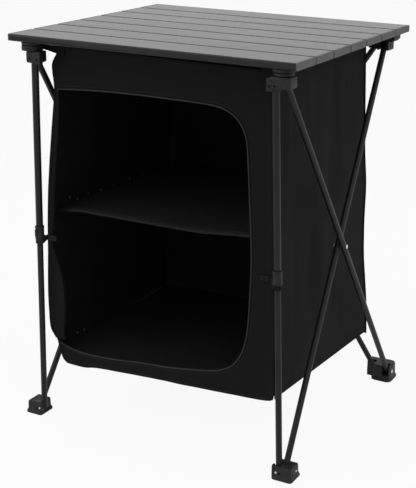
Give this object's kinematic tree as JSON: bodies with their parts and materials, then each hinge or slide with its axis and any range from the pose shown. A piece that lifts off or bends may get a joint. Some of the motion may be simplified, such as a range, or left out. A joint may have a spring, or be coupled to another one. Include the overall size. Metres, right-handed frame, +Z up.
{
  "type": "camping cupboard",
  "caption": "Folding camping cupboard: slatted roll-up top on a crossed tube frame with feet, and a hung cloth cabinet with a shelf behind an open front door",
  "frame": {"origin": "on the floor, under the middle of the object", "axes": "X along the front from left to right, Y from front to rear, Z up"},
  "size_m": [0.619, 0.5538, 0.785],
  "materials": {
    "slat": "satin anodised, faint lengthwise grain",
    "slat_cap": "grey moulded caps",
    "bracket": "black moulded plastic",
    "foot": "black moulded plastic",
    "frame_tube": "black powder coat, semi-gloss",
    "leg_tube": "black powder coat, semi-gloss",
    "collar": "black moulded plastic",
    "rivet": "domed steel rivets",
    "cloth": "black coated polyester cloth",
    "webbing": "black webbing",
    "piping": "dark grey folded tape"
  },
  "bodies": {
    "rear_left_foot": {"foot_rear_left": "foot"},
    "rear_tube_a": {"tube_rear_a": "frame_tube", "rivet_rear": "rivet"},
    "rear_tube_b": {"tube_rear_b": "frame_tube"},
    "rear_left_bracket": {"bracket_rear_left": "bracket", "panel_left": "cloth", "panel_rear": "cloth", "shelf": "cloth", "floor": "cloth"},
    "rear_right_foot": {"foot_rear_right": "foot"},
    "rear_right_bracket": {"bracket_rear_right": "bracket", "panel_right": "cloth"},
    "left_pin": {"lean_pin_left": "rivet"},
    "left_outer_tube": {"tube_left_outer": "frame_tube", "rivet_side_left": "rivet"},
    "left_inner_tube": {"tube_left_inner": "frame_tube"},
    "front_left_foot": {"foot_front_left": "foot", "leg_lower_left": "leg_tube"},
    "right_pin": {"lean_pin_right": "rivet"},
    "right_outer_tube": {"tube_right_outer": "frame_tube", "rivet_side_right": "rivet"},
    "right_inner_tube": {"tube_right_inner": "frame_tube"},
    "front_right_foot": {"foot_front_right": "foot", "leg_lower_right": "leg_tube"},
    "front_left_bracket": {"bracket_front_left": "bracket", "leg_upper_left": "frame_tube", "collar_left": "collar", "tab_left": "webbing", "panel_front": "cloth", "door_piping": "piping", "door_leaf": "cloth"},
    "front_right_bracket": {"bracket_front_right": "bracket", "leg_upper_right": "frame_tube", "collar_right": "collar", "tab_right": "webbing"},
    "rear_slat": {"slat_7": "slat", "slat_cap_left_7": "slat_cap", "slat_cap_right_7": "slat_cap", "cup_rear_left": "bracket", "cup_rear_right": "bracket"},
    "slat_6_link": {"slat_6": "slat", "slat_cap_left_6": "slat_cap", "slat_cap_right_6": "slat_cap"},
    "slat_5_link": {"slat_5": "slat", "slat_cap_left_5": "slat_cap", "slat_cap_right_5": "slat_cap"},
    "slat_4_link": {"slat_4": "slat", "slat_cap_left_4": "slat_cap", "slat_cap_right_4": "slat_cap"},
    "slat_3_link": {"slat_3": "slat", "slat_cap_left_3": "slat_cap", "slat_cap_right_3": "slat_cap"},
    "slat_2_link": {"slat_2": "slat", "slat_cap_left_2": "slat_cap", "slat_cap_right_2": "slat_cap"},
    "slat_1_link": {"slat_1": "slat", "slat_cap_left_1": "slat_cap", "slat_cap_right_1": "slat_cap", "cup_front_left": "bracket", "cup_front_right": "bracket"}
  },
  "joints": [
    {"name": "fold", "type": "hinge", "parent": "rear_left_foot", "child": "rear_tube_a", "pos_m": [-0.258, 0.2676, 0.022], "axis": [0, -1, 0], "range_deg": [0, 29.8], "deforming": ["panel_left", "panel_rear", "shelf", "floor", "panel_right", "panel_front", "door_piping", "door_leaf", "tab_left", "tab_right"]},
    {"name": "rear_cross", "type": "hinge", "parent": "rear_tube_a", "child": "rear_tube_b", "pos_m": [0, 0.2613, 0.40501], "axis": [0, 1, 0], "range_deg": [0, 59.6]},
    {"name": "rear_left_bracket_hinge", "type": "hinge", "parent": "rear_tube_b", "child": "rear_left_bracket", "pos_m": [-0.227, 0.255, 0.742], "axis": [0, -1, 0], "range_deg": [0, 29.8]},
    {"name": "rear_right_foot_hinge", "type": "hinge", "parent": "rear_tube_b", "child": "rear_right_foot", "pos_m": [0.258, 0.255, 0.022], "axis": [0, -1, 0], "range_deg": [0, 29.8]},
    {"name": "rear_right_bracket_hinge", "type": "hinge", "parent": "rear_tube_a", "child": "rear_right_bracket", "pos_m": [0.227, 0.2676, 0.742], "axis": [0, 1, 0], "range_deg": [0, 29.8]},
    {"name": "left_lean", "type": "hinge", "parent": "rear_left_foot", "child": "left_pin", "pos_m": [-0.296, 0.242, 0.022], "axis": [0, -1, 0], "range_deg": [0, 2.27]},
    {"name": "left_side_fold", "type": "hinge", "parent": "left_pin", "child": "left_outer_tube", "pos_m": [-0.296, 0.242, 0.022], "axis": [-0.9991, 0, 0.043], "range_deg": [0, 29.65]},
    {"name": "left_cross", "type": "hinge", "parent": "left_outer_tube", "child": "left_inner_tube", "pos_m": [-0.2805, 0, 0.382], "axis": [0.9991, 0, -0.043], "range_deg": [0, 59.3]},
    {"name": "front_left_bracket_hinge", "type": "hinge", "parent": "left_outer_tube", "child": "front_left_bracket", "pos_m": [-0.265, -0.242, 0.742], "axis": [0.9991, 0, -0.043], "range_deg": [0, 29.65]},
    {"name": "front_left_foot_hinge", "type": "hinge", "parent": "left_inner_tube", "child": "front_left_foot", "pos_m": [-0.28341, -0.242, 0.02146], "axis": [-0.9991, 0, 0.043], "range_deg": [0, 29.65]},
    {"name": "right_lean", "type": "hinge", "parent": "rear_right_foot", "child": "right_pin", "pos_m": [0.296, 0.242, 0.022], "axis": [0, 1, 0], "range_deg": [0, 2.27]},
    {"name": "right_side_fold", "type": "hinge", "parent": "right_pin", "child": "right_outer_tube", "pos_m": [0.296, 0.242, 0.022], "axis": [-0.9991, 0, -0.043], "range_deg": [0, 29.65]},
    {"name": "right_cross", "type": "hinge", "parent": "right_outer_tube", "child": "right_inner_tube", "pos_m": [0.2805, 0, 0.382], "axis": [0.9991, 0, 0.043], "range_deg": [0, 59.3]},
    {"name": "front_right_bracket_hinge", "type": "hinge", "parent": "right_outer_tube", "child": "front_right_bracket", "pos_m": [0.265, -0.242, 0.742], "axis": [0.9991, 0, 0.043], "range_deg": [0, 29.65]},
    {"name": "front_right_foot_hinge", "type": "hinge", "parent": "right_inner_tube", "child": "front_right_foot", "pos_m": [0.28341, -0.242, 0.02146], "axis": [-0.9991, 0, -0.043], "range_deg": [0, 29.65]},
    {"name": "top_lift", "type": "slide", "parent": "rear_left_bracket", "child": "rear_slat", "axis": [0, 0, 1], "range_m": [0, 0.25]},
    {"name": "roll", "type": "hinge", "parent": "rear_slat", "child": "slat_6_link", "pos_m": [0, 0.17729, 0.785], "axis": [-1, 0, 0], "range_deg": [0, 45]},
    {"name": "slat_5_hinge", "type": "hinge", "parent": "slat_6_link", "child": "slat_5_link", "pos_m": [0, 0.10157, 0.785], "axis": [-1, 0, 0], "range_deg": [0, 45]},
    {"name": "slat_4_hinge", "type": "hinge", "parent": "slat_5_link", "child": "slat_4_link", "pos_m": [0, 0.02586, 0.785], "axis": [-1, 0, 0], "range_deg": [0, 45]},
    {"name": "slat_3_hinge", "type": "hinge", "parent": "slat_4_link", "child": "slat_3_link", "pos_m": [0, -0.04986, 0.785], "axis": [-1, 0, 0], "range_deg": [0, 45]},
    {"name": "slat_2_hinge", "type": "hinge", "parent": "slat_3_link", "child": "slat_2_link", "pos_m": [0, -0.12557, 0.785], "axis": [-1, 0, 0], "range_deg": [0, 45]},
    {"name": "slat_1_hinge", "type": "hinge", "parent": "slat_2_link", "child": "slat_1_link", "pos_m": [0, -0.20129, 0.785], "axis": [-1, 0, 0], "range_deg": [0, 45]}
  ],
  "couplings": [
    {"joint": "rear_cross", "follows": "fold", "ratio": 2},
    {"joint": "rear_left_bracket_hinge", "follows": "fold", "ratio": 1},
    {"joint": "rear_right_foot_hinge", "follows": "fold", "ratio": 1},
    {"joint": "rear_right_bracket_hinge", "follows": "fold", "ratio": 1},
    {"joint": "left_lean", "follows": "fold", "ratio": 0.076},
    {"joint": "left_side_fold", "follows": "fold", "ratio": 0.995},
    {"joint": "left_cross", "follows": "fold", "ratio": 1.99},
    {"joint": "front_left_bracket_hinge", "follows": "fold", "ratio": 0.995},
    {"joint": "front_left_foot_hinge", "follows": "fold", "ratio": 0.995},
    {"joint": "right_lean", "follows": "fold", "ratio": 0.076},
    {"joint": "right_side_fold", "follows": "fold", "ratio": 0.995},
    {"joint": "right_cross", "follows": "fold", "ratio": 1.99},
    {"joint": "front_right_bracket_hinge", "follows": "fold", "ratio": 0.995},
    {"joint": "front_right_foot_hinge", "follows": "fold", "ratio": 0.995},
    {"joint": "slat_5_hinge", "follows": "roll", "ratio": 1},
    {"joint": "slat_4_hinge", "follows": "roll", "ratio": 1},
    {"joint": "slat_3_hinge", "follows": "roll", "ratio": 1},
    {"joint": "slat_2_hinge", "follows": "roll", "ratio": 1},
    {"joint": "slat_1_hinge", "follows": "roll", "ratio": 1}
  ]
}
